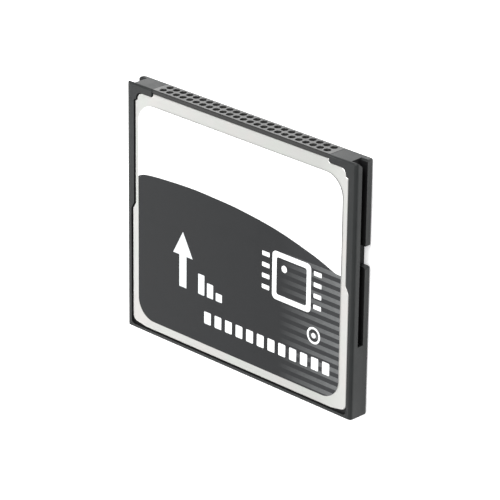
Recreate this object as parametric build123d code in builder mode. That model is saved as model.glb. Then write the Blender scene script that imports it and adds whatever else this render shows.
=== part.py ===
from build123d import *
import os

# A type I memory card, lying on its back with the label up. The origin is the middle of its
# footprint, on the back face. +X is to the right and +Y towards the pin socket as the label
# is read, and +Z rises out of the label. Sizes are in millimetres.

# Outer size. The socket's columns and the two corner posts beside them make up the width, 42.8.
corner_post_width = 4.95
card_length = 36.4
card_thickness = 3.3
side_edge_radius = 0.5
label_end_edge_radius = 0.12
socket_end_edge_radius = 0.28

# Guide rails, cut into both sides from the socket end
rail_length = 26.05
rail_depth = 1.3
rail_above_middle = 0.08
narrow_rail_width = 0.98
wide_rail_width = 1.6
rail_mouth_depth = 0.65
rail_mouth_wall = 0.32
rail_mouth_step = 0.25
notch_from_socket_end = 12.0
notch_width = 3.0
notch_corner_radius = 0.35

# Walls of the moulded frame
cavity_side_wall = 2.6
cavity_end_wall = 1.7
cavity_corner_radius = 0.8
front_rail_rim = 1.42
back_rail_rim = 1.85
lower_rim = 0.88
end_rim = 0.48
recess_corner_radius = 0.55
shoulder_from_label_end = 17.9
shoulder_length = 1.0
shoulder_radius = 0.4
tab_from_socket_end = 1.1
tab_corner_radius = 0.3
pad_step = 0.45
pad_length = 1.2
pad_radius = 1.0
pad_foot_radius = 0.18

# Pressed steel covers
cover_sheet = 0.2
cover_recess = 0.12
cover_side_gap = 0.15
cover_tab_gap = 0.06
cover_from_socket_end = 0.62
cover_edge_chamfer = 0.1
cover_corner_radius = 0.95
cover_foot_rise = 0.42
cover_foot_run = 2.6
cover_foot_radius = 3.0
flange_depth = 0.25
flange_from_socket_end = 3.2
flange_from_bend = 0.6
flange_clearance = 0.08
latch_width = 2.4
latch_length = 1.0
latch_clearance = 0.05
latch_from_flange_end = 1.9
end_latch_spacing = 18.0

# Pin socket
pin_pitch = 1.27
pin_columns = 25
pin_rows = 2
pin_hole_diameter = 1.0
pin_hole_side_count = 12
socket_end_margin = 1.21
socket_depth = 5.6
socket_nose_length = 0.5
socket_nose_recess = 0.2
socket_nose_chamfer = 0.12
socket_clearance = 0.04
ear_width = 1.0
ear_length = 2.5
ear_from_socket_end = 2.4
ear_height = 1.5

# Sprung contacts in the pin holes
contact_width = 0.3
contact_sheet = 0.12
contact_fork_length = 3.0
contact_root_length = 0.9
contact_from_socket_end = 0.7
contact_foot_length = 1.2

# Circuit board
board_thickness = 0.5
board_side_clearance = 0.2
board_end_clearance = 0.25
board_socket_clearance = 0.08
rest_length = 3.0
rest_overlap = 0.5
rest_from_ends = 7.0

# Chips and small parts on the board
chip_standoff = 0.05
chip_headroom = 0.1
chip_edge_chamfer = 0.1
flash_width = 12.0
flash_length = 18.4
flash_lead_reach = 0.8
flash_leads_per_end = 24
flash_from_card_side = 6.4
flash_below_room_middle = 0.75
lead_width = 0.2
lead_sheet = 0.12
lead_shoulder = 0.3
lead_exit_height = 0.4
controller_size = 10.0
controller_from_card_side = 9.9
controller_below_room_middle = 1.75
crystal_length = 3.2
crystal_width = 2.5
crystal_height = 0.75
regulator_length = 2.9
regulator_width = 1.6
regulator_height = 0.9
capacitor_length = 1.6
capacitor_width = 0.8
capacitor_height = 0.7
resistor_length = 1.0
resistor_width = 0.5
resistor_height = 0.35
small_parts_from_card_side = 5.9
small_part_pitch = 2.6

# Films
insulator_thickness = 0.05
insulator_clearance = 0.3
label_thickness = 0.12
label_side_margin = 2.3
label_foot_margin = 2.1
label_head_margin = 2.42
label_corner_radius = 3.0

# Places worked out from the sizes above
socket_half_width = (pin_columns - 1) * pin_pitch / 2 + socket_end_margin
half_width = socket_half_width + corner_post_width
card_width = 2 * half_width
label_end = -card_length / 2
socket_end = card_length / 2
mid_height = card_thickness / 2
mid_plane = Plane.XY.offset(mid_height)
front_face = Plane(origin=(0, 0, card_thickness), x_dir=(1, 0, 0), z_dir=(0, 0, 1))
back_face = Plane(origin=(0, 0, 0), x_dir=(-1, 0, 0), z_dir=(0, 0, -1))
rail_plane = mid_height + rail_above_middle
cover_seat = cover_recess + cover_sheet
socket_back = socket_end - socket_depth
cavity_half_width = half_width - cavity_side_wall
cavity_foot = label_end + cavity_end_wall
board_top = mid_height + board_thickness / 2
board_half_width = cavity_half_width - board_side_clearance
board_foot = cavity_foot + board_end_clearance
board_head = socket_back - board_socket_clearance
room_middle = (cavity_foot + socket_back) / 2
chip_top = card_thickness - cover_seat - insulator_thickness - chip_headroom


def outline(rail_rim, side_gap, tab_gap, head, foot_points, foot_radii):
    """Face shared by a cover and its recess: corner tabs, rail shoulders and foot corners."""
    side = half_width - rail_rim - side_gap
    lower_side = half_width - lower_rim - side_gap
    pad = half_width - rail_rim - pad_step - tab_gap
    tab = socket_end - tab_from_socket_end - tab_gap
    pad_foot = tab - pad_length
    shoulder_foot = label_end + shoulder_from_label_end
    foot = label_end + end_rim + side_gap
    with BuildSketch() as face:
        with BuildLine():
            FilletPolyline(
                (0, head),
                (socket_half_width - tab_gap, head),
                (socket_half_width - tab_gap, tab),
                (pad, tab),
                (pad, pad_foot),
                (side, pad_foot),
                (side, shoulder_foot + shoulder_length),
                (lower_side, shoulder_foot),
                *[(lower_side - x, foot + y) for x, y in foot_points],
                (0, foot),
                radius=[
                    0,
                    tab_corner_radius,
                    pad_radius,
                    pad_foot_radius,
                    pad_foot_radius,
                    shoulder_radius,
                    shoulder_radius,
                    *foot_radii,
                ],
            )
            mirror(about=Plane.YZ)
        make_face()
    return face.sketch


def recess_outline(rail_rim):
    """Recess in the frame's face, open towards the socket."""
    return outline(rail_rim, 0, 0, socket_end + card_thickness, [(0, 0)], [recess_corner_radius])


def cover_outline(rail_rim, inset=0):
    """Cover, whose foot corners rise a little above its straight foot."""
    return outline(
        rail_rim,
        cover_side_gap + inset,
        cover_tab_gap + inset,
        socket_end - cover_from_socket_end,
        [(0, cover_foot_rise), (cover_foot_run, 0)],
        [cover_corner_radius - inset, cover_foot_radius],
    )


def flange_lines(rail_rim):
    """Middle lines of a cover's straight flanges, on its right side and along its foot."""
    side = half_width - rail_rim - cover_side_gap - cover_sheet / 2
    lower_side = half_width - lower_rim - cover_side_gap - cover_sheet / 2
    foot = label_end + end_rim + cover_side_gap + cover_sheet / 2
    shoulder_foot = label_end + shoulder_from_label_end
    side_foot = shoulder_foot + shoulder_length + flange_from_bend
    side_head = socket_end - flange_from_socket_end
    foot_end = lower_side - cover_foot_run - flange_from_bend
    return (
        ((side, side_foot), (side, side_head)),
        ((lower_side, foot + cover_foot_run), (lower_side, shoulder_foot - flange_from_bend)),
        ((0, foot), (foot_end, foot)),
    )


def flange_bands(rail_rim, clearance=0):
    """The flanges seen from their face, or with a clearance the channels that take them."""
    with BuildSketch() as bands:
        for (x0, y0), (x1, y1) in flange_lines(rail_rim):
            with Locations(((x0 + x1) / 2, (y0 + y1) / 2)):
                Rectangle(
                    x1 - x0 + cover_sheet + 2 * clearance,
                    y1 - y0 + cover_sheet + 2 * clearance,
                )
        mirror(about=Plane.YZ)
    return bands.sketch


def latch_bands(rail_rim, clearance=0):
    """The latches below the flanges, or with a clearance the slots that take them."""
    upper, lower, foot = flange_lines(rail_rim)
    x, side_foot = upper[0]
    side_head = upper[1][1]
    lower_x, lower_foot = lower[0]
    places = [
        (x, side_foot + latch_from_flange_end),
        (x, side_head - latch_from_flange_end),
        (lower_x, lower_foot + latch_from_flange_end),
    ]
    with BuildSketch() as bands:
        with Locations(*places):
            Rectangle(cover_sheet + 2 * clearance, latch_width + 2 * clearance)
        with Locations((end_latch_spacing / 2, foot[0][1])):
            Rectangle(latch_width + 2 * clearance, cover_sheet + 2 * clearance)
        mirror(about=Plane.YZ)
    return bands.sketch


front_recess = recess_outline(front_rail_rim)
back_recess = recess_outline(back_rail_rim)
front_cover_face = cover_outline(front_rail_rim)
back_cover_face = cover_outline(back_rail_rim)
faces = (
    (front_face, front_rail_rim, front_recess),
    (back_face, back_rail_rim, back_recess),
)

# Frame: a moulded ring, open to the socket between its corner posts
with BuildPart() as frame:
    with Locations((0, 0, mid_height)):
        Box(card_width, card_length, card_thickness)
    long_edges = frame.edges().filter_by(Axis.Y)
    fillet(long_edges, side_edge_radius)
    label_end_face = frame.faces().sort_by(Axis.Y)[0]
    fillet(label_end_face.edges(), label_end_edge_radius)
    socket_end_face = frame.faces().sort_by(Axis.Y)[-1]
    fillet(socket_end_face.edges(), socket_end_edge_radius)
    with BuildSketch():
        with Locations((0, socket_end)):
            Rectangle(
                2 * (socket_half_width + socket_clearance),
                card_length,
                align=(Align.CENTER, Align.MAX),
            )
        with Locations((0, socket_back)):
            Rectangle(
                2 * cavity_half_width,
                socket_back - cavity_foot,
                align=(Align.CENTER, Align.MAX),
            )
        with Locations((0, cavity_foot)):
            Rectangle(
                card_width,
                card_length,
                align=(Align.CENTER, Align.MAX),
                mode=Mode.SUBTRACT,
            )
        foot_corners = vertices().group_by(Axis.Y)[0]
        fillet(foot_corners, cavity_corner_radius)
    extrude(amount=card_thickness, mode=Mode.SUBTRACT)

    # Cover recesses, the channels for their flanges and the slots for their latches
    for face, rail_rim, recess in faces:
        with BuildSketch(face):
            add(recess)
        extrude(amount=-cover_seat, mode=Mode.SUBTRACT)
        with BuildSketch(face.offset(-cover_seat)):
            add(flange_bands(rail_rim, flange_clearance))
        extrude(amount=-flange_depth - flange_clearance, mode=Mode.SUBTRACT)
        with BuildSketch(face.offset(-cover_seat)):
            add(latch_bands(rail_rim, latch_clearance))
        extrude(amount=-latch_length - latch_clearance, mode=Mode.SUBTRACT)

    # Pockets that hold the socket's ears, open to the front
    with BuildSketch(front_face):
        with Locations((0, socket_end - ear_from_socket_end + socket_clearance)):
            Rectangle(
                2 * (socket_half_width + ear_width + socket_clearance),
                ear_length + 2 * socket_clearance,
                align=(Align.CENTER, Align.MAX),
            )
    extrude(amount=-(mid_height + ear_height / 2 + socket_clearance), mode=Mode.SUBTRACT)

    # Guide rails whose mouths flare towards the front, and the notch through each rail's back wall
    for sign, rail_width in ((1, narrow_rail_width), (-1, wide_rail_width)):
        outer_side = Align.MAX if sign > 0 else Align.MIN
        with Locations((sign * half_width, socket_end, rail_plane)):
            Box(
                rail_depth,
                rail_length,
                rail_width,
                align=(outer_side, Align.MAX, Align.CENTER),
                mode=Mode.SUBTRACT,
            )
        with BuildSketch(Plane.YZ.offset(sign * half_width)):
            with BuildLine():
                Polyline(
                    (socket_end - rail_mouth_step, rail_plane - rail_width / 2),
                    (socket_end, rail_plane - rail_width / 2 - rail_mouth_step),
                    (socket_end, card_thickness - rail_mouth_wall),
                    (socket_end - rail_mouth_depth, rail_plane + rail_width / 2),
                    (socket_end - rail_mouth_depth, rail_plane),
                    close=True,
                )
            make_face()
        extrude(amount=-sign * rail_depth, mode=Mode.SUBTRACT)
        with Locations((sign * half_width, socket_end - notch_from_socket_end, 0)):
            Box(
                rail_depth,
                notch_width,
                rail_plane,
                align=(outer_side, Align.MAX, Align.MIN),
                mode=Mode.SUBTRACT,
            )
        notch_foot = socket_end - notch_from_socket_end - notch_width
        notch_corner = frame.edges().filter_by(Axis.Z).filter_by(
            lambda edge: abs(edge.center().Y - notch_foot) < notch_width / 2
            and sign * edge.center().X > half_width - rail_depth / 2
        )
        fillet(notch_corner.group_by(Axis.Y)[0], notch_corner_radius)

    # Rests under the board's long edges
    with BuildSketch(Plane.XY.offset(cover_seat)):
        for y in (label_end + rest_from_ends, socket_back - rest_from_ends):
            for sign, wall_side in ((1, Align.MAX), (-1, Align.MIN)):
                with Locations((sign * cavity_half_width, y)):
                    Rectangle(
                        board_side_clearance + rest_overlap,
                        rest_length,
                        align=(wall_side, Align.CENTER),
                    )
    extrude(amount=mid_height - board_thickness / 2 - cover_seat)
frame.part.label = "frame"

# Covers: a pressed plate with straight flanges on its sides and foot, and latches below them
with BuildPart() as front_cover:
    with BuildSketch(front_face.offset(-cover_recess)):
        add(front_cover_face)
    extrude(amount=-cover_sheet)
    chamfer(front_cover.faces().sort_by(Axis.Z)[-1].edges(), cover_edge_chamfer)
    with BuildSketch(front_face.offset(-cover_seat)):
        add(flange_bands(front_rail_rim))
    extrude(amount=-flange_depth)
    with BuildSketch(front_face.offset(-cover_seat)):
        add(latch_bands(front_rail_rim))
    extrude(amount=-latch_length)
front_cover.part.label = "front_cover"

with BuildPart() as back_cover:
    with BuildSketch(back_face.offset(-cover_recess)):
        add(back_cover_face)
    extrude(amount=-cover_sheet)
    chamfer(back_cover.faces().sort_by(Axis.Z)[0].edges(), cover_edge_chamfer)
    with BuildSketch(back_face.offset(-cover_seat)):
        add(flange_bands(back_rail_rim))
    extrude(amount=-flange_depth)
    with BuildSketch(back_face.offset(-cover_seat)):
        add(latch_bands(back_rail_rim))
    extrude(amount=-latch_length)
back_cover.part.label = "back_cover"

# Socket housing: a bar under both covers, with a thicker nose and an ear at each end
with BuildPart() as socket_housing:
    with BuildSketch(Plane.YZ):
        with Locations((socket_back, mid_height)):
            Rectangle(
                socket_depth - socket_nose_length,
                card_thickness - 2 * cover_seat,
                align=(Align.MIN, Align.CENTER),
            )
        with Locations((socket_end, mid_height)):
            Rectangle(
                socket_nose_length,
                card_thickness - 2 * socket_nose_recess,
                align=(Align.MAX, Align.CENTER),
            )
        nose_corners = vertices().group_by(Axis.X)[-1]
        chamfer(nose_corners, socket_nose_chamfer)
    extrude(amount=socket_half_width, both=True)
    with Locations((0, socket_end - ear_from_socket_end, mid_height)):
        Box(
            2 * (socket_half_width + ear_width),
            ear_length,
            ear_height,
            align=(Align.CENTER, Align.MAX, Align.CENTER),
        )
    mouth = Plane(origin=(0, socket_end, mid_height), x_dir=(-1, 0, 0), z_dir=(0, 1, 0))
    with BuildSketch(mouth):
        with GridLocations(pin_pitch, pin_pitch, pin_columns, pin_rows):
            RegularPolygon(pin_hole_diameter / 2, pin_hole_side_count, major_radius=False)
    extrude(amount=-socket_depth, mode=Mode.SUBTRACT)
socket_housing.part.label = "socket_housing"

# One contact: a fork that grips the pin, and a foot that runs back flat onto the board
fork_tip = socket_end - contact_from_socket_end
fork_root = fork_tip - contact_fork_length
fork_end = fork_root - contact_root_length
row_height = mid_height + pin_pitch * (pin_rows - 1) / 2
fork_outer = row_height - board_top
fork_inner = fork_outer - contact_sheet
foot_end = board_head - contact_foot_length
with BuildPart() as contact:
    with BuildSketch(Plane.YZ):
        with BuildLine():
            Polyline(
                (fork_tip, row_height + fork_outer),
                (fork_tip, row_height + fork_inner),
                (fork_root, row_height + fork_inner),
                (fork_root, row_height - fork_inner),
                (fork_tip, row_height - fork_inner),
                (fork_tip, row_height - fork_outer),
                (foot_end, row_height - fork_outer),
                (foot_end, row_height - fork_inner),
                (fork_end, row_height - fork_inner),
                (fork_end, row_height + fork_outer),
                close=True,
            )
        make_face()
    extrude(amount=contact_width / 2, both=True)

with BuildPart() as front_row_contacts:
    with GridLocations(pin_pitch, 0, pin_columns, 1):
        add(contact.part)
front_row_contacts.part.label = "front_row_contacts"

with BuildPart() as back_row_contacts:
    mirror(front_row_contacts.part, about=mid_plane)
back_row_contacts.part.label = "back_row_contacts"

# Circuit board
with BuildPart() as circuit_board:
    with BuildSketch(mid_plane):
        with Locations((0, board_head)):
            Rectangle(
                2 * board_half_width,
                board_head - board_foot,
                align=(Align.CENTER, Align.MAX),
            )
        foot_corners = vertices().group_by(Axis.Y)[0]
        fillet(foot_corners, cavity_corner_radius)
    extrude(amount=board_thickness / 2, both=True)
circuit_board.part.label = "circuit_board"

# Memory packages, one on each side of the board
flash_x = flash_from_card_side + flash_width / 2 - half_width
flash_y = room_middle - flash_below_room_middle
lead_pitch = flash_width / flash_leads_per_end
with BuildPart() as front_flash_chip:
    with BuildSketch(Plane.XY.offset(board_top + chip_standoff)):
        with Locations((flash_x, flash_y)):
            Rectangle(flash_width, flash_length)
    extrude(amount=chip_top - board_top - chip_standoff)
    top = front_flash_chip.faces().sort_by(Axis.Z)[-1]
    chamfer(top.edges(), chip_edge_chamfer)
front_flash_chip.part.label = "front_flash_chip"

with BuildPart() as lead:
    with BuildSketch(Plane.YZ):
        with BuildLine():
            Polyline(
                (flash_length / 2, board_top + lead_exit_height),
                (flash_length / 2, board_top + lead_exit_height + lead_sheet),
                (flash_length / 2 + lead_shoulder, board_top + lead_exit_height + lead_sheet),
                (flash_length / 2 + lead_shoulder, board_top + lead_sheet),
                (flash_length / 2 + flash_lead_reach, board_top + lead_sheet),
                (flash_length / 2 + flash_lead_reach, board_top),
                (flash_length / 2 + lead_shoulder - lead_sheet, board_top),
                (flash_length / 2 + lead_shoulder - lead_sheet, board_top + lead_exit_height),
                close=True,
            )
        make_face()
    extrude(amount=lead_width / 2, both=True)

with BuildPart() as front_flash_leads:
    with Locations((flash_x, flash_y)):
        with PolarLocations(0, 2):
            with GridLocations(lead_pitch, 0, flash_leads_per_end, 1):
                add(lead.part)
front_flash_leads.part.label = "front_flash_leads"

with BuildPart() as back_flash_chip:
    mirror(front_flash_chip.part, about=mid_plane)
back_flash_chip.part.label = "back_flash_chip"

with BuildPart() as back_flash_leads:
    mirror(front_flash_leads.part, about=mid_plane)
back_flash_leads.part.label = "back_flash_leads"

# Controller, a flat package with its pads underneath
controller_x = half_width - controller_from_card_side - controller_size / 2
controller_y = room_middle - controller_below_room_middle
with BuildPart() as controller_chip:
    with BuildSketch(Plane.XY.offset(board_top)):
        with Locations((controller_x, controller_y)):
            Rectangle(controller_size, controller_size)
    extrude(amount=chip_top - board_top)
    top = controller_chip.faces().sort_by(Axis.Z)[-1]
    chamfer(top.edges(), chip_edge_chamfer)
controller_chip.part.label = "controller_chip"

# Small parts in a column beside the controller, on the front of the board
with BuildPart() as clock_crystal:
    with BuildSketch(Plane.XY.offset(board_top)):
        with Locations((controller_x, controller_y + controller_size / 2 + crystal_length)):
            Rectangle(crystal_length, crystal_width)
    extrude(amount=crystal_height)
    top = clock_crystal.faces().sort_by(Axis.Z)[-1]
    chamfer(top.edges(), chip_edge_chamfer)
clock_crystal.part.label = "clock_crystal"

with BuildPart() as voltage_regulator:
    with BuildSketch(Plane.XY.offset(board_top)):
        with Locations((controller_x, controller_y - controller_size / 2 - regulator_length)):
            Rectangle(regulator_length, regulator_width)
    extrude(amount=regulator_height)
    top = voltage_regulator.faces().sort_by(Axis.Z)[-1]
    chamfer(top.edges(), chip_edge_chamfer)
voltage_regulator.part.label = "voltage_regulator"

with BuildPart() as capacitors:
    with BuildSketch(Plane.XY.offset(board_top)):
        with Locations((half_width - small_parts_from_card_side, controller_y)):
            with GridLocations(0, small_part_pitch, 1, 6):
                Rectangle(capacitor_length, capacitor_width)
    extrude(amount=capacitor_height)
capacitors.part.label = "capacitors"

with BuildPart() as resistors:
    with BuildSketch(Plane.XY.offset(mid_height - board_thickness / 2)):
        with Locations((controller_x, controller_y)):
            with GridLocations(small_part_pitch, small_part_pitch, 3, 4):
                Rectangle(resistor_width, resistor_length)
    extrude(amount=-resistor_height)
resistors.part.label = "resistors"

# Insulating films on the inside of the covers
with BuildPart() as front_insulator:
    with BuildSketch(front_face.offset(-cover_seat)):
        with Locations((0, board_head)):
            Rectangle(
                2 * (board_half_width - rest_overlap - insulator_clearance),
                board_head - board_foot,
                align=(Align.CENTER, Align.MAX),
            )
    extrude(amount=-insulator_thickness)
front_insulator.part.label = "front_insulator"

with BuildPart() as back_insulator:
    mirror(front_insulator.part, about=mid_plane)
back_insulator.part.label = "back_insulator"

# Printed label on the front cover
with BuildPart() as front_label:
    with BuildSketch(front_face.offset(-cover_recess)):
        with Locations((0, label_end + label_foot_margin)):
            RectangleRounded(
                card_width - 2 * label_side_margin,
                card_length - label_foot_margin - label_head_margin,
                label_corner_radius,
                align=(Align.CENTER, Align.MIN),
            )
    extrude(amount=label_thickness)
front_label.part.label = "front_label"

pieces = (
    frame,
    front_cover,
    back_cover,
    socket_housing,
    front_row_contacts,
    back_row_contacts,
    circuit_board,
    front_flash_chip,
    front_flash_leads,
    back_flash_chip,
    back_flash_leads,
    controller_chip,
    clock_crystal,
    voltage_regulator,
    capacitors,
    resistors,
    front_insulator,
    back_insulator,
    front_label,
)
os.makedirs("parts", exist_ok=True)
for piece in pieces:
    export_step(piece.part, f"parts/{piece.part.label}.step")
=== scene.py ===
import math

import bmesh
import bpy
from mathutils import Matrix, Vector
from mathutils.geometry import delaunay_2d_cdt


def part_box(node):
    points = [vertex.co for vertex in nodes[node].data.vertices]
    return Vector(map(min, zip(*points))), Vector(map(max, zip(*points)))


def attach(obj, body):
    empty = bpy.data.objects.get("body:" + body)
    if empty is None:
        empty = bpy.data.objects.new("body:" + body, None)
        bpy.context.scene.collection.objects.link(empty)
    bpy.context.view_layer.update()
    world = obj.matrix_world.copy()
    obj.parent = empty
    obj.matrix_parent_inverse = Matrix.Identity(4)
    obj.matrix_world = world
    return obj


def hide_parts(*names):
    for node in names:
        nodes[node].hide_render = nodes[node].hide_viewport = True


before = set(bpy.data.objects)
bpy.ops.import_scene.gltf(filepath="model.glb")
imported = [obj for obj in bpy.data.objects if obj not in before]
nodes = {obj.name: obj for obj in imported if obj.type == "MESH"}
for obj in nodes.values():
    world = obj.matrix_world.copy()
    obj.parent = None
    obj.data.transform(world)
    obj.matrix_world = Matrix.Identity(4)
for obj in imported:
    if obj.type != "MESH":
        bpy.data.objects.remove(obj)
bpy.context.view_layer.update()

MM = 0.001
BODY = "root"

# Corners nearer than WELD are one corner; an edge is sharp or flat by the angle of its faces
WELD = 1e-7
CORNER_DIGITS = 8
SHARP_ANGLE = math.radians(32)
FLAT_ANGLE = math.radians(0.5)

# The card's outer corners, in metres
CARD_LOW, CARD_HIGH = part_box("frame")
CARD_TOP = CARD_HIGH.z
CARD_MIDDLE = CARD_TOP / 2

# The floor lies a hair below the card, so that the two faces aren't in one plane
FLOOR = -0.01 * MM
FLOOR_HALF = 3.0
FLOOR_GLOW = 0.5
FLOOR_GLOW_BEHIND = 0.95

# Light: a white tent, dim below one height of sky and bright above another, and two softboxes
TENT_DIM_BELOW, TENT_BRIGHT_ABOVE = 0.15, 0.60
TENT_DIM, TENT_BRIGHT = 0.15, 0.95
SOFTBOXES = {
    "overhead": {"place": (0.10, 0.45, 0.60), "size": (0.6, 0.6), "power": 6.0},
    "left_low": {"place": (-0.70, -0.20, 0.20), "size": (0.7, 0.3), "power": 3.0},
}

# Camera, at the photograph's angle
CAMERA_PLACE = Vector((0.27369, 0.16722, 0.27992))
CAMERA_LOOK = Vector((-0.6430, -0.3953, -0.6559))
CAMERA_UP = Vector((-0.2854, 0.9185, -0.2738))
CAMERA_CLIP = 0.01
SENSOR_WIDTH = 36.0
IMAGE_WIDTH = 500
FOCAL_PIXELS = 3161.7


# Building blocks for the materials

# A noise field's values lie mostly between these two
NOISE_LOW, NOISE_HIGH = 0.3, 0.7

# The Mix node's colour sockets, which share their names with its other sockets
MIX_FIRST, MIX_SECOND, MIX_RESULT = 6, 7, 2


def add_node(tree, kind, settings=None, **inputs):
    """A shader node with its settings and its unlinked inputs."""
    node = tree.nodes.new(kind)
    for name, value in (settings or {}).items():
        setattr(node, name, value)
    for name, value in inputs.items():
        node.inputs[name.replace("_", " ")].default_value = value
    return node


def new_material(name, **inputs):
    """A material with one Principled shader whose plain values are set on its own sockets."""
    material = bpy.data.materials.new(name)
    material.use_nodes = True
    tree = material.node_tree
    tree.nodes.clear()
    shader = add_node(tree, "ShaderNodeBsdfPrincipled", **inputs)
    output = add_node(tree, "ShaderNodeOutputMaterial")
    tree.links.new(shader.outputs["BSDF"], output.inputs["Surface"])
    return material, tree, shader


def millimetres(tree, stretch=(1, 1, 1)):
    """Object coordinates in millimetres, stretched along the axes."""
    place = add_node(tree, "ShaderNodeTexCoord")
    mapping = add_node(tree, "ShaderNodeMapping", {"vector_type": "POINT"})
    mapping.inputs["Scale"].default_value = [1 / MM * s for s in stretch]
    tree.links.new(place.outputs["Object"], mapping.inputs["Vector"])
    return mapping.outputs["Vector"]


def noise(tree, size, detail=3.0, roughness=0.55, stretch=(1, 1, 1)):
    """A noise value whose blobs are about one size across, in millimetres."""
    field = add_node(
        tree, "ShaderNodeTexNoise", {"noise_dimensions": "3D"},
        Scale=1 / size, Detail=detail, Roughness=roughness,
    )
    tree.links.new(millimetres(tree, stretch), field.inputs["Vector"])
    return field.outputs["Fac"]


def ramp(tree, value, stops):
    """A colour ramp over a value, each stop a position with a colour or a single grey."""
    node = add_node(tree, "ShaderNodeValToRGB")
    elements = node.color_ramp.elements
    while len(elements) < len(stops):
        elements.new(0.5)
    for element, (position, colour) in zip(elements, stops):
        element.position = position
        element.color = (*colour, 1) if isinstance(colour, tuple) else (colour,) * 3 + (1,)
    tree.links.new(value, node.inputs["Fac"])
    return node.outputs["Color"]


def two_tones(tree, cloud, dark, light):
    """A colour between two tones, led by a noise field."""
    return ramp(tree, cloud, [(NOISE_LOW, dark), (NOISE_HIGH, light)])


def rescaled(tree, value, start, end, low=0.0, high=1.0, interpolation="LINEAR"):
    """The value with start..end brought to low..high, and held there beyond them."""
    node = add_node(
        tree, "ShaderNodeMapRange", {"interpolation_type": interpolation},
        From_Min=start, From_Max=end, To_Min=low, To_Max=high,
    )
    tree.links.new(value, node.inputs["Value"])
    return node.outputs["Result"]


def spread(tree, cloud, low, high):
    """A noise field's values brought to low..high."""
    return rescaled(tree, cloud, NOISE_LOW, NOISE_HIGH, low, high)


def coordinate(tree, axis, kind="Object"):
    """A place along one axis: in metres in the frame, or the sky's height for the tent."""
    place = add_node(tree, "ShaderNodeTexCoord")
    split = add_node(tree, "ShaderNodeSeparateXYZ")
    tree.links.new(place.outputs[kind], split.inputs["Vector"])
    return split.outputs[axis]


def along(tree, axis, start, end):
    """0 at start and 1 at end, two places along an axis of the frame, in metres."""
    return rescaled(tree, coordinate(tree, axis), start, end)


def multiplied(tree, first, second):
    """The product of two values."""
    node = add_node(tree, "ShaderNodeMath", {"operation": "MULTIPLY"})
    tree.links.new(first, node.inputs[0])
    tree.links.new(second, node.inputs[1])
    return node.outputs["Value"]


def bump(tree, shader, height, distance, strength=1.0, below=None):
    """Adds a height in millimetres to the shader's normal, on top of an earlier bump."""
    node = add_node(tree, "ShaderNodeBump", Strength=strength, Distance=distance * MM)
    tree.links.new(height, node.inputs["Height"])
    if below is not None:
        tree.links.new(below.outputs["Normal"], node.inputs["Normal"])
    tree.links.new(node.outputs["Normal"], shader.inputs["Normal"])
    return node


# Materials

# How far a surface's roughness swings about its middle value
MOULDING_SHEEN = 0.05
SMALL_PART_SHEEN = 0.06

# A small part's relief, as a share of the size of its clouds
SMALL_PART_GRAIN = 1 / 8


def moulded_plastic(name, dark, light, roughness, grain_size, grain_height, specular):
    """Spark-textured moulding with a slightly uneven sheen."""
    material, tree, shader = new_material(name, Specular_IOR_Level=specular)
    cloud = noise(tree, size=6.0, detail=4.0)
    tree.links.new(two_tones(tree, cloud, dark, light), shader.inputs["Base Color"])
    patches = noise(tree, size=2.5, detail=5.0)
    sheen = spread(tree, patches, roughness - MOULDING_SHEEN, roughness + MOULDING_SHEEN)
    tree.links.new(sheen, shader.inputs["Roughness"])
    bump(tree, shader, noise(tree, size=grain_size, detail=4.0), grain_height)
    return material


def satin_steel(name):
    """Pressed stainless sheet: fine rolling lines, a faint warm and cool cast, few scuffs, and
    painted light brightening it towards the card's right edge.
    """
    material, tree, shader = new_material(name, Metallic=1.0, IOR=2.2)
    warm, neutral, cool = (1.0, 0.98, 0.945), (0.98, 0.98, 0.95), (0.965, 0.99, 0.94)
    cloud = noise(tree, size=5.0, detail=2.0)
    cast = ramp(tree, cloud, [(0.36, warm), (0.5, neutral), (0.64, cool)])
    across = along(tree, "X", CARD_LOW.x, CARD_HIGH.x)
    # Painted light: the sheet's colour is brighter towards the card's right edge.
    painted_light_across = ramp(tree, across, [(0.0, 0.65), (0.85, 0.63), (1.0, 0.76)])
    cast_and_painted_light = add_node(
        tree, "ShaderNodeMix", {"data_type": "RGBA", "blend_type": "MULTIPLY"}, Factor=1.0
    )
    tree.links.new(painted_light_across, cast_and_painted_light.inputs[MIX_FIRST])
    tree.links.new(cast, cast_and_painted_light.inputs[MIX_SECOND])
    tree.links.new(cast_and_painted_light.outputs[MIX_RESULT], shader.inputs["Base Color"])
    lines = noise(tree, size=0.05, detail=3.0, stretch=(0.03, 1, 1))
    tree.links.new(spread(tree, lines, low=0.29, high=0.36), shader.inputs["Roughness"])
    rolled = bump(tree, shader, lines, distance=0.0008, strength=0.5)
    scuffs = noise(tree, size=0.35, detail=4.0)
    bump(tree, shader, scuffs, distance=0.002, below=rolled)
    return material


def plain_varied(name, dark, light, size, roughness, metallic=0.0):
    """Small-part finish: two close tones, uneven sheen and a fine relief."""
    material, tree, shader = new_material(name, Metallic=metallic)
    cloud = noise(tree, size, detail=4.0)
    tree.links.new(two_tones(tree, cloud, dark, light), shader.inputs["Base Color"])
    sheen = spread(tree, cloud, roughness - SMALL_PART_SHEEN, roughness + SMALL_PART_SHEEN)
    tree.links.new(sheen, shader.inputs["Roughness"])
    bump(tree, shader, noise(tree, size * SMALL_PART_GRAIN, detail=4.0), distance=0.004)
    return material


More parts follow.
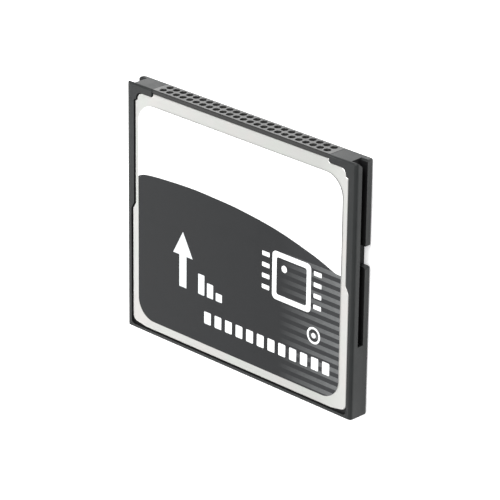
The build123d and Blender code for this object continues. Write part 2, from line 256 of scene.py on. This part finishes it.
def floor_material():
    """Backlit white table, lit more strongly behind the socket end, on its left."""
    material, tree, shader = new_material("floor_white", Roughness=0.9, Specular_IOR_Level=0.1)
    tone = two_tones(tree, noise(tree, size=60.0), dark=0.90, light=0.92)
    tree.links.new(tone, shader.inputs["Base Color"])
    tree.links.new(tone, shader.inputs["Emission Color"])
    behind = along(tree, "Y", CARD_HIGH.y - 6 * MM, CARD_HIGH.y + 2 * MM)
    across = along(tree, "X", CARD_LOW.x, CARD_HIGH.x)
    leftwards = ramp(tree, across, [(0.0, 0.88), (1.0, 0.66)])
    share = multiplied(tree, behind, leftwards)
    glow = rescaled(tree, share, 0.0, 1.0, FLOOR_GLOW, FLOOR_GLOW_BEHIND)
    tree.links.new(glow, shader.inputs["Emission Strength"])
    return material


def printed_film(name, left, right, start=0.0, end=1.0, axis="X", grain=0.0):
    """Printed, satin-coated film whose tone may change along an axis of the frame; on the film's
    thin edge that change is painted shade.
    """
    material, tree, shader = new_material(name, Specular_IOR_Level=0.2)
    streaks = noise(tree, size=0.16, detail=4.0, stretch=(0.25, 1, 1))
    speckle = spread(tree, streaks, 1 - grain, 1 + grain)
    place = multiplied(tree, along(tree, axis, start, end), speckle)
    tree.links.new(ramp(tree, place, [(0.0, left), (1.0, right)]), shader.inputs["Base Color"])
    sheen = spread(tree, noise(tree, size=3.0, detail=4.0), low=0.36, high=0.48)
    tree.links.new(sheen, shader.inputs["Roughness"])
    bump(tree, shader, noise(tree, size=0.3, detail=3.0), distance=0.0015)
    return material


FRAME_PLASTIC = moulded_plastic(
    "frame_plastic", dark=(0.0105, 0.0120, 0.0120), light=(0.0155, 0.0172, 0.0172),
    roughness=0.42, grain_size=0.09, grain_height=0.006, specular=0.29,
)
# Painted shade: a darker, duller copy of the frame plastic, put inside the cover recesses and the
# rails.
FRAME_PAINTED_SHADE = moulded_plastic(
    "frame_plastic_painted_shade", dark=(0.007, 0.007, 0.0075), light=(0.010, 0.010, 0.0105),
    roughness=0.55, grain_size=0.09, grain_height=0.004, specular=0.2,
)
SOCKET_PLASTIC = moulded_plastic(
    "socket_plastic", dark=(0.019, 0.019, 0.0185), light=(0.025, 0.025, 0.0245),
    roughness=0.40, grain_size=0.12, grain_height=0.004, specular=0.3,
)
# Painted light: the socket's mating face is a lighter, glossier copy of the housing plastic.
SOCKET_FACE_PAINTED_LIGHT = moulded_plastic(
    "socket_face_painted_light", dark=(0.061, 0.061, 0.060), light=(0.078, 0.078, 0.077),
    roughness=0.36, grain_size=0.12, grain_height=0.004, specular=0.42,
)
COVER_STEEL = satin_steel("cover_steel")
CONTACT_METAL = plain_varied(
    "contact_metal", dark=(0.45, 0.34, 0.16), light=(0.62, 0.48, 0.24),
    size=0.3, roughness=0.35, metallic=1.0,
)
BOARD_LAMINATE = plain_varied(
    "board_laminate", dark=(0.015, 0.10, 0.04), light=(0.02, 0.13, 0.055),
    size=1.5, roughness=0.4,
)
CHIP_RESIN = plain_varied(
    "chip_resin", dark=(0.018, 0.018, 0.019), light=(0.026, 0.026, 0.027),
    size=0.5, roughness=0.55,
)
TINNED_LEAD = plain_varied(
    "tinned_lead", dark=(0.60, 0.60, 0.58), light=(0.74, 0.74, 0.72),
    size=0.3, roughness=0.34, metallic=1.0,
)
CRYSTAL_CAN = plain_varied(
    "crystal_can", dark=(0.62, 0.62, 0.60), light=(0.72, 0.72, 0.71),
    size=0.6, roughness=0.3, metallic=1.0,
)
CERAMIC = plain_varied(
    "capacitor_ceramic", dark=(0.36, 0.25, 0.15), light=(0.46, 0.34, 0.21),
    size=0.3, roughness=0.5,
)
RESISTOR_FILM = plain_varied(
    "resistor_film", dark=(0.02, 0.02, 0.024), light=(0.035, 0.035, 0.04),
    size=0.3, roughness=0.35,
)
INSULATING_FILM = plain_varied(
    "insulating_film", dark=(0.62, 0.40, 0.09), light=(0.70, 0.47, 0.12),
    size=3.0, roughness=0.25,
)
LABEL_WHITE = printed_film("label_white", left=0.90, right=0.90)
LABEL_MARK = printed_film(
    "label_mark", left=(0.66, 0.69, 0.70), right=(0.84, 0.85, 0.85), start=-0.012, end=0.005
)
LABEL_DARK = printed_film(
    "label_dark", left=(0.0105, 0.0113, 0.0125), right=(0.024, 0.025, 0.027),
    start=0.008, end=0.019, grain=0.3,
)
LABEL_STRIPE = printed_film(
    "label_stripe", left=(0.0105, 0.0113, 0.0125), right=(0.125, 0.129, 0.131),
    start=0.008, end=0.0195, grain=0.18,
)
# Painted shade on the film's thin edge: nearly black towards the socket end, light grey towards
# the foot.
LABEL_EDGE_PAINTED_SHADE = printed_film(
    "label_edge_painted_shade", left=(0.62, 0.62, 0.61), right=0.05, start=0.0015, end=0.0025, axis="Y"
)

NODE_MATERIALS = {
    "front_row_contacts": CONTACT_METAL,
    "back_row_contacts": CONTACT_METAL,
    "circuit_board": BOARD_LAMINATE,
    "front_flash_chip": CHIP_RESIN,
    "front_flash_leads": TINNED_LEAD,
    "back_flash_chip": CHIP_RESIN,
    "back_flash_leads": TINNED_LEAD,
    "controller_chip": CHIP_RESIN,
    "clock_crystal": CRYSTAL_CAN,
    "voltage_regulator": CHIP_RESIN,
    "capacitors": CERAMIC,
    "resistors": RESISTOR_FILM,
    "front_insulator": INSULATING_FILM,
    "back_insulator": INSULATING_FILM,
}
for name, material in NODE_MATERIALS.items():
    mesh = nodes[name].data
    mesh.materials.clear()
    mesh.materials.append(material)


# Meshes made from the nodes' own faces

def corners_of(mesh, polygon):
    """A face's corners, rounded so that corners shared by two faces are equal."""
    return [tuple(round(c, CORNER_DIGITS) for c in mesh.vertices[i].co) for i in polygon.vertices]


def outlines(faces):
    """Closed outlines of a patch of faces, each face a list of corners."""
    open_edges = set()
    for face in faces:
        for start, end in zip(face, face[1:] + face[:1]):
            if (end, start) in open_edges:
                open_edges.remove((end, start))
            else:
                open_edges.add((start, end))
    ahead = dict(sorted(open_edges))
    loops = []
    while ahead:
        start, point = ahead.popitem()
        loop = [start]
        while point != start:
            loop.append(point)
            point = ahead.pop(point)
        loops.append(loop)
    return loops


def anticlockwise(polygon):
    """The polygon's points in anticlockwise order."""
    area = sum(a[0] * b[1] - b[0] * a[1] for a, b in zip(polygon, polygon[1:] + polygon[:1]))
    return polygon if area > 0 else polygon[::-1]


def flat_regions(polygons):
    """Points and triangles that fill the polygons, each triangle with the polygons over it."""
    points, faces = [], []
    for polygon in polygons:
        faces.append(list(range(len(points), len(points) + len(polygon))))
        points.extend(Vector(p) for p in anticlockwise(polygon))
    inside_only, merge_distance, with_covers = 1, WELD / 10, True
    spots, _, triangles, _, _, covers = delaunay_2d_cdt(
        points, [], faces, inside_only, merge_distance, with_covers
    )
    return spots, list(zip(triangles, covers))


def add_piece(name, node, points, faces, slots, materials):
    """A piece that stands for a node, with smooth shading between its sharp edges."""
    mesh = bpy.data.meshes.new(name)
    mesh.from_pydata(points, [], faces)
    for material in materials:
        mesh.materials.append(material)
    mesh.polygons.foreach_set("material_index", slots)
    bm = bmesh.new()
    bm.from_mesh(mesh)
    bmesh.ops.remove_doubles(bm, verts=bm.verts, dist=WELD)
    loose = [vertex for vertex in bm.verts if not vertex.link_faces]
    bmesh.ops.delete(bm, geom=loose, context="VERTS")
    bmesh.ops.recalc_face_normals(bm, faces=bm.faces)
    bm.to_mesh(mesh)
    bm.free()
    mesh.shade_smooth()
    mesh.set_sharp_from_angle(angle=SHARP_ANGLE)
    piece = bpy.data.objects.new(name, mesh)
    bpy.context.scene.collection.objects.link(piece)
    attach(piece, BODY)
    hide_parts(node)
    return piece


# Frame and covers, with their outer edges softened

# An edge's rounding, and the room that it needs on the faces beside the edge
EDGE_RADIUS = 0.04 * MM
EDGE_SEGMENTS = 2
ROOM_IN_RADII = 1.5

# Where the moulding gets painted shade, a darker plastic: inside the cover recesses and inside
# the rails
RECESS_SIDE = CARD_HIGH.x - 0.86 * MM
RECESS_FOOT = CARD_LOW.y + 0.46 * MM
RECESS_HEAD = CARD_HIGH.y - 1.15 * MM
RECESS_BACK = 0.02 * MM
RECESS_FRONT = CARD_TOP - 0.02 * MM
RAIL_SIDE = CARD_HIGH.x - 0.06 * MM
RAIL_MOUTH = CARD_HIGH.y - 2.0 * MM
RAIL_BACK = 0.9 * MM
RAIL_FRONT = 2.6 * MM


def frame_slot(place):
    """The frame's material at a place: 1 where the moulding gets painted shade, else 0."""
    x, y, z = abs(place.x), place.y, place.z
    beside_cover = x < RECESS_SIDE and RECESS_FOOT < y < RECESS_HEAD
    in_recess = beside_cover and RECESS_BACK < z < RECESS_FRONT
    in_rail = x < RAIL_SIDE and y < RAIL_MOUTH and RAIL_BACK < z < RAIL_FRONT
    return int(in_recess or in_rail)


def has_room(edge):
    """True where no far side of a face beside the edge is within reach of its rounding."""
    start, end = (vertex.co for vertex in edge.verts)
    length = edge.calc_length()
    forwards = (end - start) / length
    joined = {v for vertex in edge.verts for other in vertex.link_edges for v in other.verts}
    for face in edge.link_faces:
        inwards = face.normal.cross(forwards)
        for vertex in set(face.verts) - joined:
            step = vertex.co - start
            beside = -EDGE_RADIUS < step.dot(forwards) < length + EDGE_RADIUS
            if beside and abs(step.dot(inwards)) < ROOM_IN_RADII * EDGE_RADIUS:
                return False
    return True


def is_rounded(edge, slot_at):
    """True for the sharp outer edges in plain sight, where slot_at gives 0."""
    middle = (edge.verts[0].co + edge.verts[1].co) / 2
    sharp = edge.is_convex and edge.calc_face_angle() > SHARP_ANGLE
    return sharp and slot_at(middle) == 0 and has_room(edge)


def add_softened(name, node, materials, slot_at=lambda place: 0):
    """The node's solid with its sharp outer edges rounded off."""
    bm = bmesh.new()
    bm.from_mesh(nodes[node].data)
    bmesh.ops.remove_doubles(bm, verts=bm.verts, dist=WELD)
    bmesh.ops.dissolve_limit(bm, angle_limit=FLAT_ANGLE, verts=bm.verts, edges=bm.edges)
    bmesh.ops.bevel(
        bm, geom=[edge for edge in bm.edges if is_rounded(edge, slot_at)], affect="EDGES",
        offset=EDGE_RADIUS, segments=EDGE_SEGMENTS, profile=0.5, clamp_overlap=False,
    )
    points = [vertex.co.copy() for vertex in bm.verts]
    faces = [[vertex.index for vertex in face.verts] for face in bm.faces]
    slots = [slot_at(face.calc_center_median()) for face in bm.faces]
    bm.free()
    piece = add_piece(name, node, points, faces, slots, materials)
    shading = piece.modifiers.new("even_shading", "WEIGHTED_NORMAL")
    shading.keep_sharp = True


# The frame takes painted shade in its recesses and rails.
add_softened("card_frame", "frame", [FRAME_PLASTIC, FRAME_PAINTED_SHADE], frame_slot)
add_softened("front_cover_sheet", "front_cover", [COVER_STEEL])
add_softened("back_cover_sheet", "back_cover", [COVER_STEEL])


# Pin socket: the housing with round pin holes, chamfered at their mouths

PIN_COLUMNS = 25
PIN_PITCH = 1.27 * MM
HOLE_SIDES = 32

# A hole's depths and radii from its mouth inwards, and the reach of the faces that it replaces
HOLE_MOUTH = [(0.0, 0.525 * MM), (0.03 * MM, 0.495 * MM), (0.09 * MM, 0.48 * MM)]
HOLE_REACH = 0.53 * MM

# The nose at the socket end, whose front and back lie beyond the flank and are moved outwards
NOSE_LENGTH = 0.5 * MM
NOSE_FLANK = 1.25 * MM
NOSE_RISE = 0.12 * MM


def circle(x, y, radius, sides):
    """Points round a circle."""
    turns = [math.tau * i / sides for i in range(sides)]
    return [(x + radius * math.cos(a), y + radius * math.sin(a)) for a in turns]


def add_socket():
    """The housing's outer faces, with its two pierced ends and the bores made anew."""
    mesh = nodes["socket_housing"].data
    low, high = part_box("socket_housing")
    centres = [
        ((column - (PIN_COLUMNS - 1) / 2) * PIN_PITCH, CARD_MIDDLE + side * PIN_PITCH / 2)
        for column in range(PIN_COLUMNS) for side in (-1, 1)
    ]
    points, faces, slots = [], [], []

    def risen(point):
        """The same point, or one moved outwards where it is on the nose's front or back."""
        x, y, z = point
        above_middle = z - CARD_MIDDLE
        if y > high.y - NOSE_LENGTH - WELD and abs(above_middle) > NOSE_FLANK:
            z += math.copysign(NOSE_RISE, above_middle)
        return x, y, z

    def keep(new_points, new_faces, slot):
        """Adds faces, whose corners are places in the list of new points."""
        start = len(points)
        points.extend(risen(point) for point in new_points)
        faces.extend([start + i for i in face] for face in new_faces)
        slots.extend([slot] * len(new_faces))

    end_faces = {low.y: [], high.y: []}
    for polygon in mesh.polygons:
        corners = corners_of(mesh, polygon)
        level = next((y for y in end_faces if all(abs(c[1] - y) < WELD for c in corners)), None)
        x, _, z = polygon.center
        if level is not None:
            end_faces[level].append(corners)
        elif min(math.hypot(x - cx, z - cz) for cx, cz in centres) > HOLE_REACH:
            keep(corners, [range(len(corners))], 0)

    bores = [(high.y - depth, radius) for depth, radius in HOLE_MOUTH]
    bores.append((low.y, HOLE_MOUTH[-1][1]))
    # The mating end's face takes the lighter socket material, which is painted light.
    for level, radius, slot in ((high.y, bores[0][1], 1), (low.y, bores[-1][1], 0)):
        edge = max(outlines(end_faces[level]), key=lambda loop: max(p[0] for p in loop))
        holes = [circle(x, z, radius, HOLE_SIDES) for x, z in centres]
        spots, regions = flat_regions([[(x, z) for x, _, z in edge]] + holes)
        solid = [triangle for triangle, covers in regions if list(covers) == [0]]
        keep([(p.x, level, p.y) for p in spots], solid, slot)
    ring_starts = range(0, HOLE_SIDES * (len(bores) - 1), HOLE_SIDES)
    steps = [(i, (i + 1) % HOLE_SIDES) for i in range(HOLE_SIDES)]
    walls = [
        (ring + i, ring + j, ring + HOLE_SIDES + j, ring + HOLE_SIDES + i)
        for ring in ring_starts for i, j in steps
    ]
    for cx, cz in centres:
        bore = [(x, y, z) for y, radius in bores for x, z in circle(cx, cz, radius, HOLE_SIDES)]
        keep(bore, walls, 0)
    add_piece(
        "pin_socket", "socket_housing", points, faces, slots,
        [SOCKET_PLASTIC, SOCKET_FACE_PAINTED_LIGHT],
    )


add_socket()


# Printed label: each field of colour is a region of the film's face.
# Its drawing is in millimetres, as seen in the plane of the card's front.

# The film's thickness, the shift that its thinness gives it, and how far its foot reaches down
FILM = 0.06 * MM
FILM_SHIFT_X = 0.07
FILM_SHIFT_Y = 0.04
FOOT_STRETCH = 0.11 * MM

# The node's faces whose normals rise more than this are its printed side
FACES_UP = 0.9

# The dark field and its stripes are drawn past the film's left, right and foot edges
FIELD_LEFT, FIELD_RIGHT, FIELD_FOOT = 1.6, 41.2, 0.0
DARK_FIELD_TOP = [
    (FIELD_LEFT, 22.6), (2.3, 23.1), (2.95, 23.42), (3.95, 23.68), (6.9, 23.98), (12.8, 24.26),
    (18.0, 24.15), (21.6, 23.97), (26.5, 23.45), (30.4, 22.8), (34.8, 21.75), (37.2, 21.05),
    (39.2, 20.33), (39.9, 20.2), (FIELD_RIGHT, 20.18),
]
STRIPE_COUNT = 15
STRIPE_PITCH = 1.245
STRIPE_HEIGHT = 0.62
STRIPE_TOP = 20.0
STRIPE_START = 28.5

# Plain marks: an arrow towards the socket, level bars, a chip, a ring and a row of blocks
ARROW = [
    (11.1, 17.4), (9.2, 13.9), (10.4, 13.9), (10.4, 9.2), (11.8, 9.2), (11.8, 13.9), (13.0, 13.9)
]
LEVEL_BAR_HEIGHTS = (3.0, 2.1, 1.2)
LEVEL_BAR_FOOT = 9.2
LEVEL_BAR_LEFT, LEVEL_BAR_RIGHT = 14.1, 15.3
LEVEL_BAR_PITCH = 1.7
CHIP_OUTER = (28.1, 13.1, 35.2, 20.1)
CHIP_INNER = (28.9, 13.9, 34.4, 19.3)
CHIP_DOT = (30.3, 17.9)
CHIP_DOT_RADIUS = 0.5
CHIP_LEAD_SIDES = ((26.2, 27.6), (35.7, 37.1))
CHIP_LEADS = 4
CHIP_LEAD_FOOT = 13.95
CHIP_LEAD_PITCH = 1.6
CHIP_LEAD_HEIGHT = 0.65
RING_CENTRE = (35.85, 10.1)
RING_RADII = (1.2, 0.9, 0.38)
BLOCKS = 12
BLOCK_LEFT, BLOCK_RIGHT = 15.3, 16.6
BLOCK_PITCH = 2.02
BLOCK_FOOT, BLOCK_TOP = 5.15, 6.95
SMALL_RADIUS, BLOCK_RADIUS, CHIP_INNER_RADIUS, CHIP_OUTER_RADIUS = 0.12, 0.15, 0.35, 0.7
CIRCLE_SIDES = 48
CORNER_STEPS = 6
CURVE_STEPS = 8


def on_label(x, y):
    """A place of the drawing on the film, in metres."""
    return (CARD_LOW.x + (x - FILM_SHIFT_X) * MM, CARD_LOW.y + (y - FILM_SHIFT_Y) * MM)


def curve_value(p, q, r, s, t):
    """One coordinate of the curve between the knots q and r, at t from 0 to 1."""
    slope = r - p
    square = 2 * p - 5 * q + 4 * r - s
    cube = 3 * q - p - 3 * r + s
    return 0.5 * (2 * q + slope * t + square * t ** 2 + cube * t ** 3)


def smooth_line(knots):
    """A curve through the knots."""
    ends = [knots[0]] + knots + [knots[-1]]
    line = []
    for four in zip(ends, ends[1:], ends[2:], ends[3:]):
        for i in range(CURVE_STEPS):
            line.append(tuple(curve_value(*values, i / CURVE_STEPS) for values in zip(*four)))
    return line + [knots[-1]]


def rounded_box(x0, y0, x1, y1, radius):
    """A rectangle with rounded corners."""
    corners = ((x1, y1, 0), (x0, y1, 1), (x0, y0, 2), (x1, y0, 3))
    points = []
    for x, y, quarter in corners:
        cx = x - radius if x == x1 else x + radius
        cy = y - radius if y == y1 else y + radius
        for i in range(CORNER_STEPS + 1):
            a = math.pi / 2 * (quarter + i / CORNER_STEPS)
            points.append((cx + radius * math.cos(a), cy + radius * math.sin(a)))
    return points


def label_marks():
    """The outlines of the plain marks, where an outline inside another is a hole in it."""
    marks = [ARROW]
    for i, height in enumerate(LEVEL_BAR_HEIGHTS):
        left, right = (side + LEVEL_BAR_PITCH * i for side in (LEVEL_BAR_LEFT, LEVEL_BAR_RIGHT))
        foot, top = LEVEL_BAR_FOOT, LEVEL_BAR_FOOT + height
        marks.append(rounded_box(left, foot, right, top, SMALL_RADIUS))
    marks.append(rounded_box(*CHIP_OUTER, CHIP_OUTER_RADIUS))
    marks.append(rounded_box(*CHIP_INNER, CHIP_INNER_RADIUS))
    marks.append(circle(*CHIP_DOT, CHIP_DOT_RADIUS, CIRCLE_SIDES))
    for i in range(CHIP_LEADS):
        foot = CHIP_LEAD_FOOT + CHIP_LEAD_PITCH * i
        for left, right in CHIP_LEAD_SIDES:
            marks.append(rounded_box(left, foot, right, foot + CHIP_LEAD_HEIGHT, SMALL_RADIUS))
    for radius in RING_RADII:
        marks.append(circle(*RING_CENTRE, radius, CIRCLE_SIDES))
    for i in range(BLOCKS):
        left, right = (side + BLOCK_PITCH * i for side in (BLOCK_LEFT, BLOCK_RIGHT))
        marks.append(rounded_box(left, BLOCK_FOOT, right, BLOCK_TOP, BLOCK_RADIUS))
    return marks


def add_label():
    """The film: its face in regions of ink, its thin edge in painted shade and its flat
    underside.
    """
    mesh = nodes["front_label"].data
    low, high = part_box("front_label")
    face = [corners_of(mesh, polygon) for polygon in mesh.polygons if polygon.normal.z > FACES_UP]
    length = high.y - low.y
    edge = [
        (x - FILM_SHIFT_X * MM, y - FILM_SHIFT_Y * MM - FOOT_STRETCH * (high.y - y) / length)
        for x, y, _ in outlines(face)[0]
    ]
    dark = smooth_line(DARK_FIELD_TOP) + [(FIELD_RIGHT, FIELD_FOOT), (FIELD_LEFT, FIELD_FOOT)]
    stripes = []
    for i in range(STRIPE_COUNT):
        middle = STRIPE_TOP - STRIPE_PITCH * i
        foot, top = middle - STRIPE_HEIGHT / 2, middle + STRIPE_HEIGHT / 2
        stripes.append(
            [(STRIPE_START, foot), (FIELD_RIGHT, foot), (FIELD_RIGHT, top), (STRIPE_START, top)]
        )
    drawn = [dark] + stripes + label_marks()
    film_index, dark_index, first_mark = 0, 1, 2 + len(stripes)
    spots, regions = flat_regions([edge] + [[on_label(*p) for p in shape] for shape in drawn])
    white, dark_ink, stripe_ink, mark_ink, side = range(5)
    face_triangles, slots = [], []
    for triangle, covers in regions:
        if film_index not in covers:
            continue
        face_triangles.append(list(triangle))
        if sum(i >= first_mark for i in covers) % 2:
            slots.append(mark_ink)
        elif dark_index not in covers:
            slots.append(white)
        elif any(dark_index < i < first_mark for i in covers):
            slots.append(stripe_ink)
        else:
            slots.append(dark_ink)
    rim = outlines(face_triangles)[0]
    below = {i: len(spots) + k for k, i in enumerate(rim)}
    walls = [(b, a, below[a], below[b]) for a, b in zip(rim, rim[1:] + rim[:1])]
    base = [below[i] for i in reversed(rim)]
    points = [(p.x, p.y, low.z + FILM) for p in spots]
    points += [(spots[i].x, spots[i].y, low.z) for i in rim]
    # The film's thin edge takes the edge material, whose tone is painted shade.
    slots += [side] * len(walls) + [white]
    add_piece(
        "printed_label", "front_label", points, face_triangles + walls + [base], slots,
        [LABEL_WHITE, LABEL_DARK, LABEL_STRIPE, LABEL_MARK, LABEL_EDGE_PAINTED_SHADE],
    )


add_label()


# Floor, light and camera

def add_floor():
    """A wide plain table under the card."""
    mesh = bpy.data.meshes.new("floor")
    corners = [
        (x * FLOOR_HALF, y * FLOOR_HALF, FLOOR) for x, y in ((-1, -1), (1, -1), (1, 1), (-1, 1))
    ]
    mesh.from_pydata(corners, [], [(0, 1, 2, 3)])
    mesh.materials.append(floor_material())
    floor = bpy.data.objects.new("floor", mesh)
    bpy.context.scene.collection.objects.link(floor)


def add_tent():
    """The white sky round the card, dimmer towards its foot."""
    world = bpy.data.worlds.new("studio")
    world.use_nodes = True
    tree = world.node_tree
    background = tree.nodes["Background"]
    background.inputs["Color"].default_value = (1, 1, 1, 1)
    strength = rescaled(
        tree, coordinate(tree, "Z", "Generated"), TENT_DIM_BELOW, TENT_BRIGHT_ABOVE,
        TENT_DIM, TENT_BRIGHT, "SMOOTHSTEP",
    )
    tree.links.new(strength, background.inputs["Strength"])
    bpy.context.scene.world = world


def add_softbox(name, place, size, power):
    """A rectangular lamp that faces the card."""
    lamp = bpy.data.lights.new(name, "AREA")
    lamp.shape = "RECTANGLE"
    lamp.size, lamp.size_y = size
    lamp.energy = power
    softbox = bpy.data.objects.new(name, lamp)
    softbox.location = place
    softbox.rotation_euler = (-Vector(place)).to_track_quat("-Z", "Y").to_euler()
    bpy.context.scene.collection.objects.link(softbox)


def add_camera():
    """The photograph's view of the card."""
    lens = bpy.data.cameras.new("camera")
    lens.sensor_width = SENSOR_WIDTH
    lens.lens = FOCAL_PIXELS * SENSOR_WIDTH / IMAGE_WIDTH
    lens.clip_start = CAMERA_CLIP
    camera = bpy.data.objects.new("camera", lens)
    back = -CAMERA_LOOK.normalized()
    right = CAMERA_UP.cross(back).normalized()
    up = back.cross(right)
    turn = Matrix((right, up, back)).transposed()
    camera.matrix_world = Matrix.Translation(CAMERA_PLACE) @ turn.to_4x4()
    bpy.context.scene.collection.objects.link(camera)
    bpy.context.scene.camera = camera


bpy.context.scene.view_settings.view_transform = "Standard"
add_floor()
add_tent()
for name, softbox in SOFTBOXES.items():
    add_softbox(name, **softbox)
add_camera()
